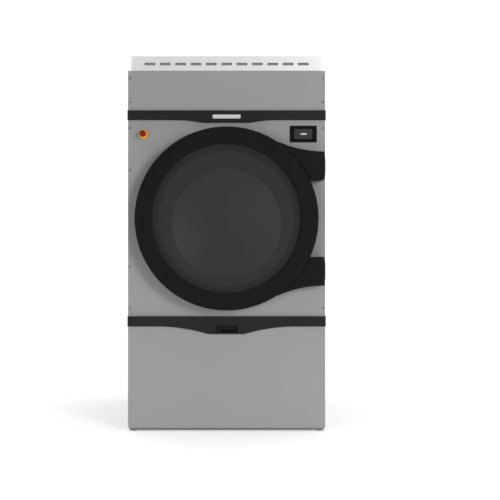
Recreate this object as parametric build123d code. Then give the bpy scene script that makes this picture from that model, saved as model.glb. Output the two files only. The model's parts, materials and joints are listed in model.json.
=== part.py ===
"""Industrial tumble dryer with a round glass door on the right-hand hinge and a pull-out lint drawer.

Frame: +Z up, +X to the right of someone who faces the machine, front towards -Y, in millimetres.
The origin is on the floor, under the middle of the whole machine's box. Every function below makes one
separate piece, and write_parts() saves each one under the name of its node.
"""

from build123d import *
import os
from math import asin, atan, atan2, cos, hypot, pi, radians, sin, sqrt

# ---- Driving dimensions ------------------------------------------------------------------------------
WIDTH = 980.0  # over the front panels
ROOF = 1790.0  # top edge of the front
DEPTH = 1060.0  # front panel face to rear panel face
DOOR_PROUD = 85.0  # the door ring stands this far ahead of the front panel
SPIGOT = 65.0  # the exhaust spigot stands this far behind the rear panel
SHEET = 2.0  # cabinet sheet
GAP = 0.5  # clearance between folded sheets that lap

FRONT = -(DOOR_PROUD + DEPTH + SPIGOT) / 2 + DOOR_PROUD  # y of the front panel's face
REAR = FRONT + DEPTH
HALF = WIDTH / 2
SIDE = HALF - SHEET - GAP  # outer face of the side panels
SIDE_IN = SIDE - SHEET - GAP  # outer face of the posts inside the side panels

# Heights on the front
PANEL_BOTTOM = 15.0
DRAWER_TOP = 565.5
MAIN_BOTTOM = 567.5
MAIN_TOP = 1565.0
UPPER_BOTTOM = 1567.0
FLANGE = 18.0  # returns folded back round the front panels
CORNER_R = 4.0
SCREW_INSET = 10.0
UPPER_SCREWS = (1633.5, 1752.0)
MAIN_SCREWS = (609.0, 816.0, 1297.0, 1505.0)
BEHIND_HINGES = (816.0, 1297.0)  # the hinge brackets take these two screws' places on the right
REAR_SCREWS = (60.0, 430.0, 530.0, 950.0, 1370.0, 1740.0)

# Black trim bands
BAND_PROUD = 12.0
BAND_OVERHANG = 2.0
UPPER_BAND = dict(top=1591.5, side=1544.2, middle=1531.2, flat=107.0, start=250.0, blend=120.0)
BADGE_WIDTH, BADGE_HEIGHT, BADGE_Z = 138.0, 19.0, 1560.5
LOWER_BAND = dict(top=569.5, side=520.0, middle=482.0, flat=84.0, start=345.0, blend=35.0)

# Door
DOOR_Z = 1053.0
RING_R = 449.5
GLASS_SIGHT_R = 364.5
FRAME_SIGHT_R = 350.0
FRAME_R = 415.0  # steel door frame
FRAME_FACE = FRONT - 24.0
FRAME_THICK = 6.0
RING_BACK = FRONT - 22.0
GASKET_FACE = FRONT - 76.0
GLASS_R = 368.2
GLASS_FACE, GLASS_BACK = FRONT - 72.8, FRONT - 65.8
ROOM = 2.0  # round a hinge arm in the ring and the covers
SEAT_R = 374.0  # the frame's collar round the glass
OPENING_R = 352.0
ARM_FACE = 72.0  # hinge covers stand this far ahead of the panel
ARM_END = 480.0
ARM_OUTER = 328.0  # outer edge of a hinge cover from the door's centre
COVER_GROOVE = 1.0  # between the ring and a hinge cover
ARM_INNER = 188.0
SWEEP_SHARE = 0.84  # how much of the whole arc a cover's outer edge follows before it meets the ring
HINGE_X = 481.0
HINGE_PROUD = 14.0
HINGE_MID = (ARM_INNER + ARM_OUTER) / 2  # hinge pin's middle from the door's centre
KNUCKLE = 30.0  # half height of the door's knuckle
LEAF_HALF = 46.0
LEAF_THICK = 3.5
LEAF_SCREW_X, LEAF_SCREW_DZ = 452.0, 30.0
PIN_R = 5.0
BARREL_R = 9.0
RUNNING = 0.05  # radial clearance of a turning fit

# Drum and drive
DRUM_R = 440.0
DRUM_FRONT = FRONT + 75.0
DRUM_REAR = FRONT + 835.0
DRUM_MOUTH_R = 372.0
DRUM_SEAT_R = DRUM_R - SHEET - 0.1  # rim of the pressed back
BULKHEAD_Y = FRONT + 857.0
PLENUM_BACK = FRONT + 903.0
SHAFT_R = 25.0
BEARING_R, BEARING_WIDTH = 45.0, 23.0
HOUSING_R = 56.0
PULLEY_SEAT_R = 277.0
MOTOR_SEAT_R = 20.0
PULLEY_Y = FRONT + 1007.0
BELT_WIDTH = 22.0
BELT_GAP = 0.3
BELT_THICK = 4.0
PULLEY_HALF = BELT_WIDTH / 2 + 4
MOTOR_X, MOTOR_Z = 310.0, 470.0
MOTOR_SHAFT_R = 9.0

# Exhaust fan
FAN_Y, FAN_Z = FRONT + 812.0, 255.0
FAN_HALF = 105.0
FAN_SHAFT_R = 8.0
IMPELLER_R = 150.0
IMPELLER_HALF = 61.0
SCROLL_R = 200.0
SCROLL_Z = 262.0
OUTLET_Z = 162.0
OUTLET_END = FRONT + 1015.0
DUCT_R = 100.0

# Lint drawer
BOX_HALF = 430.0
BOX_BACK = FRONT + 540.0
BOX_TOP = 500.0
BOX_BOTTOM = 380.0
LEDGE_Z = 410.0
SLIDE_Z = 445.0
DECK_Z = 562.0

# Air intake on the roof
INTAKE_HALF = 485.0
INTAKE_FRONT = FRONT + 110.0
INTAKE_DEPTH = 560.0
INTAKE_TOP = 1885.0
SLOTS = 11
SLOT_PITCH = 78.15
SLOT_LENGTH = 53.5
SLOT_HEIGHT = 13.5
SLOT_Z = 1845.5

# Controls
CONTROL_Z = 1475.0
DISPLAY_X = 381.0
DISPLAY_FRAME = (66.8, 41.0)  # half width and half height
DISPLAY_GLASS = (44.5, 25.0)
DISPLAY_CASE = (61.0, 35.0)
ESTOP_X = -414.0

# Latch in the lower band
LATCH_Z = 505.7
LATCH_HALF_X, LATCH_HALF_Z = 56.0, 17.0
PADDLE_LEFT, PADDLE_RIGHT = -22.0, 52.0
LATCH_PIN_Y, LATCH_PIN_Z = FRONT - 9.0, 517.3
LATCH_PIN_R = 1.5
LOCK_X = -43.0
LOCK_R = 8.0

# Stop button
HEAD_R = 16.0
STEM_R = 8.0
SPIGOT_R = 4.0  # the head's spigot inside the stem
NECK_R = 11.0
COLLAR_R = 23.0

# Chassis
FOOT_X = 460.0
FOOT_INSET = 29.0
FOOT_STEM_R = 6.0
FRAME_BOTTOM, FRAME_TOP = 3.0, 53.0
POST_WALL = 2.5
RAIL_LOW, RAIL_HIGH = 345.0, 385.0  # side rails and motor rails
RAIL_IN = 452.0  # inner face of the side rails
BULKHEAD_HALF = 480.0  # half width of the deck, the front rail and the rear bulkhead
REAR_SPLIT = 480.0  # the lower rear panel ends here
GLAND_X, GLAND_Z, GLAND_R = -360.0, 1700.0, 16.0
CASING_HALF, CASING_BOTTOM = 300.0, 1560.0  # heater casing
ELEMENT_Z = 1670.0
SHANK_R = 2.2  # panel screws
SCREW_HEAD_R, SCREW_HEAD = 4.2, 2.6


# ---- Plain solids by their limits --------------------------------------------------------------------
def block(x0, x1, y0, y1, z0, z1):
    return Pos((x0 + x1) / 2, (y0 + y1) / 2, (z0 + z1) / 2) * Box(x1 - x0, y1 - y0, z1 - z0)


def rod_x(radius, x0, x1, y, z):
    return Pos((x0 + x1) / 2, y, z) * Rot(0, 90, 0) * Cylinder(radius, x1 - x0)


def rod_y(radius, y0, y1, x=0.0, z=DOOR_Z):
    return Pos(x, (y0 + y1) / 2, z) * Rot(90, 0, 0) * Cylinder(radius, y1 - y0)


def rod_z(radius, x, y, z0, z1):
    return Pos(x, y, (z0 + z1) / 2) * Cylinder(radius, z1 - z0)


def ring_y(outer, inner, y0, y1, x=0.0, z=DOOR_Z):
    return rod_y(outer, y0, y1, x, z) - rod_y(inner, y0 - 1, y1 + 1, x, z)


def plate(face, y_back, y_front):
    """An outline drawn in X and Z, made solid between two depths."""
    return extrude(Plane.XZ.offset(-y_back) * face, y_back - y_front)


def left_and_right(shape):
    return [shape, mirror(shape, Plane.YZ)]


def join(solids):
    whole = solids[0]
    for solid in solids[1:]:
        whole = whole + solid
    return whole


def cut(shape, *tools):
    for tool in tools:
        shape = shape - tool
    return shape


# ---- Chassis -----------------------------------------------------------------------------------------
def foot_places():
    return {
        f"foot_{row}_{hand}": (side * FOOT_X, y)
        for row, y in (("front", FRONT + FOOT_INSET), ("rear", REAR - FOOT_INSET))
        for hand, side in (("left", -1), ("right", 1))
    }


def base_frame():
    """Folded C-channel ring that everything stands on, with a welded nut at each foot."""
    outer, inset, wide, wall = HALF - 7.5, 7.0, 40.0, 3.0
    y0, y1 = FRONT + inset, REAR - inset
    ring = block(-outer, outer, y0, y1, FRAME_BOTTOM, FRAME_TOP)
    hollow = block(-outer + wall, outer - wall, y0 + wall, y1 - wall, FRAME_BOTTOM + wall, FRAME_TOP - wall)
    middle = block(-outer + wide, outer - wide, y0 + wide, y1 - wide, 0, FRAME_TOP + 1)
    ring = cut(ring, hollow, middle)
    for x, y in foot_places().values():
        nut_bottom = FRAME_BOTTOM + wall
        ring = ring + rod_z(11, x, y, nut_bottom, nut_bottom + 12)
        ring = ring - rod_z(FOOT_STEM_R + RUNNING, x, y, 0, FRAME_TOP - wall - 1)
    return ring


def foot(x, y):
    """Levelling foot: low pad on a threaded stem, turned by its hexagon."""
    pad = rod_z(18, x, y, 0, FRAME_BOTTOM - 0.4)
    stem_top, hexagon_r, hexagon_height = 42.0, 9.5, 7.0
    stem = rod_z(FOOT_STEM_R, x, y, 0, stem_top)
    hexagon = Pos(x, y, stem_top - 4) * extrude(RegularPolygon(hexagon_r, 6), hexagon_height)
    return pad + stem + hexagon


def frame_posts():
    """Four corner angles; the panels' screws go into them."""
    leg, wall = 30.0, POST_WALL
    posts = []
    for y, into in ((FRONT + SHEET + GAP, 1), (REAR - SHEET - GAP, -1)):
        far = y + into * leg
        near_wall = y + into * wall
        across = block(-SIDE_IN, leg - SIDE_IN, min(y, near_wall), max(y, near_wall), FRAME_TOP, ROOF - 5)
        along = block(-SIDE_IN, wall - SIDE_IN, min(y, far), max(y, far), FRAME_TOP, ROOF - 5)
        posts += left_and_right(cut(across + along, *screw_holes()))
    return posts


def frame_rails():
    """Front rail over the drawer, side rails, two rails under the drive motor, and the drawer's runners."""
    post_face, wall = FRONT + SHEET + GAP + POST_WALL, 3.0
    low, high, inner, outer = RAIL_LOW, RAIL_HIGH, RAIL_IN, SIDE_IN - 3
    under_deck = DECK_Z - SHEET
    lip = block(-BULKHEAD_HALF, BULKHEAD_HALF, post_face, post_face + SHEET, under_deck - 34, under_deck)
    front_rail = lip + block(-BULKHEAD_HALF, BULKHEAD_HALF, post_face, post_face + 40, under_deck, DECK_Z)
    side_rail = block(inner, outer, post_face, REAR - SHEET - GAP - POST_WALL, low, high)
    side_rail = side_rail - block(inner + wall, outer + 1, post_face - 1, REAR, low + wall, high - wall)
    motor_rails = []
    rail_end, rail_depth = 225.0, 30.0
    for start in (FRONT + 775, FRONT + 925):
        channel = block(rail_end, inner, start, start + rail_depth, low, high)
        hollow = block(rail_end - 1, inner + 1, start + wall, start + rail_depth + 1, low + wall, high - wall)
        motor_rails.append(channel - hollow)
    runner_in, runner_low, runner_high, runner_y0, runner_y1 = 438.5, 420.0, 470.0, FRONT + 30, FRONT + 600
    runner = block(runner_in, inner, runner_y0, runner_y1, runner_low, runner_high)
    groove_low, groove_high = runner_low + wall, runner_high - wall
    runner = runner - block(runner_in - 1, inner - wall, runner_y0 - 1, runner_y1 + 1, groove_low, groove_high)
    tab_depth, tab_low, tab_high = 30.0, 435.0, 455.0
    for tab in (FRONT + 60, FRONT + 560):
        runner = runner + block(inner, SIDE - SHEET, tab, tab + tab_depth, tab_low, tab_high)
    return [front_rail, *motor_rails, *left_and_right(side_rail), *left_and_right(runner)]


# ---- Cabinet sheets ----------------------------------------------------------------------------------
def screw_places():
    x = HALF - SCREW_INSET
    left = [(-x, FRONT, z, -1) for z in UPPER_SCREWS + MAIN_SCREWS]
    right = [(x, FRONT, z, -1) for z in UPPER_SCREWS + MAIN_SCREWS if z not in BEHIND_HINGES]
    rear = [(s * x, REAR, z, 1) for s in (-1, 1) for z in REAR_SCREWS]
    leaf_face = FRONT - LEAF_THICK
    hinge_levels = [DOOR_Z + s * HINGE_MID + dz for s in (-1, 1) for dz in (-LEAF_SCREW_DZ, LEAF_SCREW_DZ)]
    hinges = [(LEAF_SCREW_X, leaf_face, z, -1) for z in hinge_levels]
    return left + right + rear + hinges


def screw_holes():
    return [rod_y(SHANK_R + 0.1, y - 9, y + 9, x, z) for x, y, z, _ in screw_places()]


def panel_screws():
    """Pan-head screws with a hexagon socket."""
    shank_length, socket_r, socket_depth, head_round = 7.0, 1.9, 1.5, 1.4
    screws = []
    for x, y, z, out in screw_places():
        head_y, shank_y = y + out * SCREW_HEAD, y - out * shank_length
        head = rod_y(SCREW_HEAD_R, min(y, head_y), max(y, head_y), x, z)
        rim = head.edges().filter_by(GeomType.CIRCLE).sort_by(Axis.Y)[0 if out < 0 else -1]
        head = fillet(rim, head_round)
        shank = rod_y(SHANK_R, min(y, shank_y), max(y, shank_y), x, z)
        face_y = head_y if out < 0 else head_y - socket_depth
        socket = plate(Pos(x, z) * RegularPolygon(socket_r, 6), face_y + socket_depth, face_y)
        screws.append(head + shank - socket)
    return screws


def sheet_front(z0, z1, top=False):
    """A front sheet with its side returns."""
    panel = block(-HALF, HALF, FRONT, FRONT + SHEET, z0, z1)
    for x in (-HALF, HALF - SHEET):
        panel = panel + block(x, x + SHEET, FRONT, FRONT + FLANGE, z0, z1)
    if top:
        panel = panel + block(-HALF, HALF, FRONT, FRONT + FLANGE, z1 - SHEET, z1)
    return panel


def front_panel_main():
    panel = sheet_front(MAIN_BOTTOM, MAIN_TOP)
    opening = rod_y(OPENING_R, FRONT - 1, FRONT + 5)
    half_width, half_height = DISPLAY_CASE
    display = display_block(half_width + 1, half_height + 1, FRONT - 1, FRONT + 5)
    estop = rod_y(NECK_R + 0.2, FRONT - 1, FRONT + 5, ESTOP_X, CONTROL_Z)
    return cut(panel, opening, display, estop, *screw_holes())


def soften_corners(panel, level):
    """Rounds the two outer corners at the panel's lowest (0) or highest (-1) edge."""
    across = panel.edges().filter_by(Axis.Y).group_by(Axis.Z)[level].sort_by(Axis.X)
    return fillet([across[0], across[-1]], CORNER_R)


def front_panel_upper():
    panel = sheet_front(UPPER_BOTTOM, ROOF, top=True)
    return cut(soften_corners(panel, -1), *screw_holes())


def side_panels():
    """Side sheets with a hem under the roof."""
    y0, y1, top = FRONT + SHEET + GAP, REAR - SHEET - GAP, ROOF - SHEET - GAP
    hem_top = ROOF - 2 * SHEET - GAP
    sheet = block(SIDE - SHEET, SIDE, y0, y1, PANEL_BOTTOM, top)
    hem_wide, hem_short = 25.0, 60.0
    hem = block(SIDE - hem_wide, SIDE, y0 + hem_short, y1 - hem_short, hem_top - SHEET, hem_top)
    return left_and_right(sheet + hem)


def top_panel():
    z1 = ROOF - SHEET
    inside = SIDE - SHEET - GAP
    roof = block(-inside, inside, FRONT + SHEET + GAP, REAR - SHEET - GAP, z1 - SHEET, z1)
    margin = 30.0
    y0, y1, half = INTAKE_FRONT + margin, INTAKE_FRONT + INTAKE_DEPTH - margin, 440.0
    return cut(roof, block(-half, half, y0, y1, z1 - 5, z1 + 1))


def rear_sheet(z0, z1):
    panel = block(-HALF, HALF, REAR - SHEET, REAR, z0, z1)
    for x in (-HALF, HALF - SHEET):
        panel = panel + block(x, x + SHEET, REAR - FLANGE, REAR, z0, z1)
    return panel


def rear_panel_upper():
    """Upper rear sheet with two blocks of cooling vents and the gland's hole."""
    panel = rear_sheet(REAR_SPLIT + SHEET, ROOF - SHEET)
    tools = [rod_y(GLAND_R + 0.2, REAR - 5, REAR + 1, GLAND_X, GLAND_Z), *screw_holes()]
    vent_x, vent_half, vent_height, first_vent, vent_pitch = 230.0, 70.0, 8.0, 640.0, 28.0
    for side in (-1, 1):
        for row in range(8):
            z = first_vent + vent_pitch * row
            x = side * vent_x
            tools.append(block(x - vent_half, x + vent_half, REAR - 5, REAR + 1, z, z + vent_height))
    return cut(panel, *tools)


def rear_panel_lower():
    panel = rear_sheet(PANEL_BOTTOM, REAR_SPLIT)
    return cut(panel, rod_y(DUCT_R - 1.5, REAR - 5, REAR + 1, 0, OUTLET_Z), *screw_holes())


def intake_box():
    """Galvanised air intake on the roof, open below, with a row of slots in its front and back."""
    y1 = INTAKE_FRONT + INTAKE_DEPTH
    base = ROOF - SHEET
    box = block(-INTAKE_HALF, INTAKE_HALF, INTAKE_FRONT, y1, base, INTAKE_TOP)
    inner = INTAKE_HALF - SHEET
    inside = block(-inner, inner, INTAKE_FRONT + SHEET, y1 - SHEET, base - 1, INTAKE_TOP - SHEET)
    foot_wide = 20.0
    open_half = INTAKE_HALF - foot_wide
    flange = block(-INTAKE_HALF, INTAKE_HALF, INTAKE_FRONT, y1, base, base + SHEET)
    flange = flange - block(-open_half, open_half, INTAKE_FRONT + foot_wide, y1 - foot_wide, base - 1, base + 5)
    outline = RectangleRounded(SLOT_LENGTH, SLOT_HEIGHT, 2.5)
    slots = []
    for i in range(SLOTS):
        x = (i - (SLOTS - 1) / 2) * SLOT_PITCH
        slots.append(plate(Pos(x, SLOT_Z) * outline, y1 + 1, INTAKE_FRONT - 1))
    return cut(box - inside + flange, *slots)


# ---- Trim --------------------------------------------------------------------------------------------
def band_outline(top, side, middle, flat, start, blend):
    """Right half of a trim band: straight above, and below a long arc that sinks to a flat middle."""
    end = HALF + BAND_OVERHANG
    drop, run = side - middle, start - flat
    turn = 2 * atan(drop / run)
    long_r = run / sin(turn) - blend
    meet_x = start - long_r * sin(turn)
    meet_z = side - long_r * (1 - cos(turn))
    half = turn / 2
    long_mid = (start - long_r * sin(half), side - long_r * (1 - cos(half)))
    blend_mid = (flat + blend * sin(half), middle + blend * (1 - cos(half)))
    edges = [
        Line((0, top), (end, top)),
        Line((end, top), (end, side)),
        Line((end, side), (start, side)),
        ThreePointArc((start, side), long_mid, (meet_x, meet_z)),
        ThreePointArc((meet_x, meet_z), blend_mid, (flat, middle)),
        Line((flat, middle), (0, middle)),
        Line((0, middle), (0, top)),
    ]
    return make_face(Curve() + edges)


def trim_band(shape):
    half = plate(band_outline(**shape), FRONT, FRONT - BAND_PROUD)
    band = half + mirror(half, Plane.YZ)
    band = fillet(band.faces().sort_by(Axis.Y)[0].edges(), 2.0)
    for x in (-HALF - BAND_OVERHANG, HALF):
        band = band + block(x, x + BAND_OVERHANG, FRONT - 4, FRONT + FLANGE, shape["side"], shape["top"])
    return band


def badge_plate():
    """Blank plate with rounded ends in the middle of the upper band."""
    plate_y = FRONT - BAND_PROUD
    badge = plate(Pos(0, BADGE_Z) * RectangleRounded(BADGE_WIDTH, BADGE_HEIGHT, 3), plate_y, plate_y - 1.2)
    return chamfer(badge.faces().sort_by(Axis.Y)[0].edges(), 0.4)


def latch_cutout(clear=0.0):
    return block(
        -LATCH_HALF_X - clear,
        LATCH_HALF_X + clear,
        FRONT - BAND_PROUD - 5,
        FRONT + 20,
        LATCH_Z - LATCH_HALF_Z - clear,
        LATCH_Z + LATCH_HALF_Z + clear,
    )


def lower_trim_band():
    return trim_band(LOWER_BAND) - latch_cutout(0.2)


# ---- Controls ----------------------------------------------------------------------------------------
def display_block(half_width, half_height, y0, y1):
    return block(
        DISPLAY_X - half_width, DISPLAY_X + half_width, y0, y1, CONTROL_Z - half_height, CONTROL_Z + half_height
    )


def display_bezel():
    """Flush frame of the touch display, with its case behind the panel."""
    rim = display_block(*DISPLAY_FRAME, FRONT - 4, FRONT)
    rim = fillet(rim.edges().filter_by(Axis.Y), 3)
    rim = chamfer(rim.faces().sort_by(Axis.Y)[0].edges(), 0.8)
    case = display_block(*DISPLAY_CASE, FRONT, FRONT + 34)
    half_width, half_height = DISPLAY_GLASS
    seat = display_block(half_width + 0.2, half_height + 0.2, FRONT - 5, FRONT - 1)
    return rim + case - seat


def display_screen():
    return display_block(*DISPLAY_GLASS, FRONT - 3.2, FRONT - 1)


def estop_collar():
    """Yellow collar round the stop button."""
    collar = rod_y(COLLAR_R, FRONT - 12, FRONT, ESTOP_X, CONTROL_Z)
    rim = collar.edges().filter_by(GeomType.CIRCLE).sort_by(Axis.Y)[0]
    collar = chamfer(rim, 3.5)
    return cut(collar, rod_y(STEM_R + 0.5, FRONT - 20, FRONT + 1, ESTOP_X, CONTROL_Z))


def estop_contact_block():
    """Threaded neck through the panel, ring nut and contact block."""
    neck_end, block_end, half_width, half_height = FRONT + 14, FRONT + 58, 15.0, 20.0
    neck = rod_y(NECK_R, FRONT, neck_end, ESTOP_X, CONTROL_Z)
    nut = rod_y(NECK_R + 4, FRONT + SHEET, FRONT + 8, ESTOP_X, CONTROL_Z)
    left, right = ESTOP_X - half_width, ESTOP_X + half_width
    contacts = block(left, right, neck_end, block_end, CONTROL_Z - half_height, CONTROL_Z + half_height)
    return cut(neck + nut + contacts, rod_y(STEM_R + RUNNING, FRONT - 1, neck_end + 2, ESTOP_X, CONTROL_Z))


def estop_stem():
    return cut(
        rod_y(STEM_R, FRONT - 30, FRONT + 6, ESTOP_X, CONTROL_Z),
        rod_y(SPIGOT_R + RUNNING, FRONT - 31, FRONT - 20, ESTOP_X, CONTROL_Z),
    )


def estop_head():
    """Mushroom head that turns on the stem to release."""
    head = rod_y(HEAD_R, FRONT - 40, FRONT - 19, ESTOP_X, CONTROL_Z)
    head = fillet(head.edges().filter_by(GeomType.CIRCLE).sort_by(Axis.Y)[0], 7)
    head = fillet(head.edges().filter_by(GeomType.CIRCLE).sort_by(Axis.Y)[-1], 3)
    head = cut(head, rod_y(STEM_R + RUNNING, FRONT - 30.2, FRONT - 18, ESTOP_X, CONTROL_Z))
    return head + rod_y(SPIGOT_R, FRONT - 32, FRONT - 21, ESTOP_X, CONTROL_Z)


# ---- Door --------------------------------------------------------------------------------------------
def door_ring():
    """Black outer ring: a deep channel that is open behind, so that fingers can pull on its rim."""
    face, back, wall = FRONT - DOOR_PROUD, RING_BACK, 4.0
    ring = ring_y(RING_R, GLASS_SIGHT_R, face, back)
    front_edges = ring.edges().filter_by(GeomType.CIRCLE).group_by(Axis.Y)[0].sort_by(SortBy.RADIUS)
    ring = fillet(front_edges[-1], 7)
    inner_edge = ring.edges().filter_by(GeomType.CIRCLE).group_by(Axis.Y)[0].sort_by(SortBy.RADIUS)[0]
    ring = fillet(inner_edge, 3)
    channel = ring_y(RING_R - wall, SEAT_R + wall, face + wall + 3, back + 1)
    glass_room = rod_y(SEAT_R + 0.2, GASKET_FACE - 0.2, back + 1)
    frame_room = ring_y(RING_R - wall, SEAT_R - 2, FRAME_FACE, back + 1)
    arm_room = [
        block(300, RING_R, FRAME_FACE - 8, back + 1, z - KNUCKLE - ROOM, z + KNUCKLE + ROOM)
        for z in (DOOR_Z - HINGE_MID, DOOR_Z + HINGE_MID)
    ]
    return cut(ring, channel, glass_room, frame_room, *arm_room)


def door_frame():
    """Steel ring that carries the glass, the seal and the hinge arms."""
    wall, ledge_r, ledge_face = 3.0, 356.0, FRONT - 62
    disc = ring_y(FRAME_R, FRAME_SIGHT_R, FRAME_FACE, FRAME_FACE + FRAME_THICK)
    seat = ring_y(SEAT_R, SEAT_R - wall, ledge_face - 4, FRAME_FACE)
    ledge = ring_y(SEAT_R, ledge_r, ledge_face, ledge_face + wall)
    return disc + seat + ledge


def glass_gasket():
    """Rubber channel round the glass; its front lip is the narrower one."""
    outer, inner, back = SEAT_R - 3.2, 357.0, FRONT - 62
    body = ring_y(outer, inner, GASKET_FACE, back)
    groove = ring_y(GLASS_R + 0.2, inner - 7, GLASS_FACE - 0.2, GLASS_BACK + 0.3)
    return cut(body, groove, rod_y(GLASS_SIGHT_R - 1, GASKET_FACE - 1, GLASS_FACE + 2.8))


def door_glass():
    return rod_y(GLASS_R, GLASS_FACE, GLASS_BACK)


def door_seal():
    """Rubber lip on the back of the door frame."""
    foot_face = FRAME_FACE + FRAME_THICK
    foot_ring = ring_y(402, 380, foot_face, foot_face + 6)
    lip = ring_y(394, 388, foot_face + 6, FRONT - 1)
    return foot_ring + lip


def hinge_cover_outline(inset=0.0):
    """The upper cover about the door's centre: an arc leaves the ring and levels out at the hinge."""
    ring_r = RING_R + COVER_GROOVE + inset
    outer = ARM_OUTER - inset
    inner = ARM_INNER + inset
    end = ARM_END - inset
    rise = 2 * atan((RING_R - ARM_OUTER) / ARM_END)  # from tan(45 - a / 2) = (R - outer) / end
    angle = pi / 2 - rise
    sweep_r = ARM_END / cos(angle) - RING_R + inset
    centre = (ARM_END, ARM_OUTER - inset + sweep_r)

    def on_sweep(turn):
        return (centre[0] - sweep_r * sin(turn), centre[1] - sweep_r * cos(turn))

    tip_turn = rise * (SWEEP_SHARE - 0.02 * inset)
    tip = on_sweep(tip_turn)
    tip_angle = atan2(tip[1], tip[0])
    root = (ring_r * cos(tip_angle), ring_r * sin(tip_angle))
    low_angle = asin(inner / ring_r)
    low = (ring_r * cos(low_angle), inner)
    mid_angle = (tip_angle + low_angle) / 2
    edges = [
        Line((end, inner), (end, outer)),
        ThreePointArc((end, outer), on_sweep((tip_turn + asin(inset / sweep_r)) / 2), tip),
        Line(tip, root),
        ThreePointArc(root, (ring_r * cos(mid_angle), ring_r * sin(mid_angle)), low),
        Line(low, (end, inner)),
    ]
    return make_face(Curve() + edges)


def hinge_cover():
    """Upper hinge cover: a tray that is open towards the cabinet and at the hinge pin."""
    back, wall, right, leaf_room = FRONT - 8, 3.0, ARM_END + 20, LEAF_HALF + 5
    shell = plate(hinge_cover_outline(), back, FRONT - ARM_FACE)
    corner = shell.edges().filter_by(Axis.Y).sort_by(lambda e: e.center().Z - e.center().X)[0]
    shell = fillet(corner, 12)
    shell = chamfer(shell.faces().sort_by(Axis.Y)[0].edges(), 1.0)
    hollow = plate(hinge_cover_outline(wall), back + 1, FRONT - ARM_FACE + wall)
    knuckle_room = block(ARM_END - 12, right, FRONT - 26, FRONT, HINGE_MID - leaf_room, HINGE_MID + leaf_room)
    arm_low, arm_high = HINGE_MID - KNUCKLE - ROOM, HINGE_MID + KNUCKLE + ROOM
    arm_room = block(200, right, FRAME_FACE - 7, FRONT, arm_low, arm_high)
    return Pos(0, 0, DOOR_Z) * cut(shell, hollow, knuckle_room, arm_room)


def about_door_centre(shape):
    """The lower copy of an upper part, mirrored in the door's own level."""
    return mirror(shape, Plane.XY.offset(DOOR_Z))


def hinge_covers():
    upper = hinge_cover()
    return [upper, about_door_centre(upper)]


def hinge_arms():
    """Steel arm from the door frame to the knuckle on the pin."""
    y = FRONT - HINGE_PROUD
    z = DOOR_Z + HINGE_MID
    low, high = z - KNUCKLE, z + KNUCKLE
    tongue_start, tongue_end = 325.0, 440.0
    bar = block(tongue_start - 5, HINGE_X - 4, FRAME_FACE, FRAME_FACE + FRAME_THICK, low, high)
    bar = bar - rod_y(FRAME_R + 0.3, FRONT - 40, FRONT)
    tongue = block(tongue_start, tongue_end, FRAME_FACE - 6, FRAME_FACE, low, high)
    barrel = rod_z(BARREL_R, HINGE_X, y, low, high)
    arm = cut(bar + tongue + barrel, rod_z(PIN_R + RUNNING, HINGE_X, y, low - 1, high + 1))
    return [arm, about_door_centre(arm)]


def hinge_brackets():
    """Leaf on the front panel with two knuckles, and the pin through them."""
    y = FRONT - HINGE_PROUD
    z = DOOR_Z + HINGE_MID
    low_end, high_end, web_half = z - LEAF_HALF, z + LEAF_HALF, 6.0
    leaf = block(440, HALF - 3, FRONT - LEAF_THICK, FRONT, low_end, high_end)
    for low, high in ((low_end, z - KNUCKLE - 1), (z + KNUCKLE + 1, high_end)):
        leaf = leaf + rod_z(BARREL_R - 0.5, HINGE_X, y, low, high)
        leaf = leaf + block(HINGE_X - web_half, HINGE_X + web_half, y, FRONT - 1, low, high)
    leaf = cut(leaf, rod_z(PIN_R + RUNNING, HINGE_X, y, low_end - 14, high_end + 14), *screw_holes())
    head = rod_z(PIN_R + 2, HINGE_X, y, high_end + 0.1, high_end + 2.5)
    pin = rod_z(PIN_R, HINGE_X, y, low_end - 3, high_end + 1) + head
    return [leaf, about_door_centre(leaf), pin, about_door_centre(pin)]


def loading_ring():
    """Stainless collar that leads from the door opening into the drum."""
    wall, length, flange_wide = 2.5, 82.0, 35.0
    tube = ring_y(OPENING_R - 0.5, OPENING_R - 0.5 - wall, FRONT, FRONT + length)
    flange = ring_y(OPENING_R + flange_wide, OPENING_R - 2, FRONT + SHEET, FRONT + 2 * SHEET)
    return tube + flange


# ---- Drum --------------------------------------------------------------------------------------------
def drum_shell():
    """Rolled cylinder with its turned-in front rim."""
    shell = ring_y(DRUM_R, DRUM_R - SHEET, DRUM_FRONT, DRUM_REAR)
    wall = 2.5
    rim = ring_y(DRUM_R, DRUM_MOUTH_R, DRUM_FRONT, DRUM_FRONT + wall)
    lip = ring_y(DRUM_MOUTH_R + 3, DRUM_MOUTH_R, DRUM_FRONT, DRUM_FRONT + 14)
    return shell + rim + lip


def drum_back():
    """Flat back whose pressed rim sits inside the shell."""
    face = DRUM_REAR - 6
    return rod_y(DRUM_SEAT_R, face, face + 3) + ring_y(DRUM_SEAT_R, DRUM_SEAT_R - 2.4, face, DRUM_REAR)


def drum_lifters():
    """Four folded ribs that carry the load round."""
    foot_half, height, tip, wall = 48.0, 60.0, 12.0, 2.5
    seat = sqrt((DRUM_R - SHEET) ** 2 - foot_half**2) - 0.4
    top = seat - height
    outline = Polyline((-foot_half, seat), (-tip, top), (tip, top), (foot_half, seat), close=True)
    inner = Polyline(
        (-foot_half + wall * 1.2, seat + 1),
        (-tip + wall * 0.8, top + wall),
        (tip - wall * 0.8, top + wall),
        (foot_half - wall * 1.2, seat + 1),
        close=True,
    )
    y_front, y_back = DRUM_FRONT + 25, DRUM_REAR - 12
    outer = plate(make_face(outline), y_back, y_front)
    hollow = plate(make_face(inner), y_back + 1, y_front + wall)
    rib = outer - hollow
    return [Pos(0, 0, DOOR_Z) * Rot(0, 45 + 90 * i, 0) * rib for i in range(4)]


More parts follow.
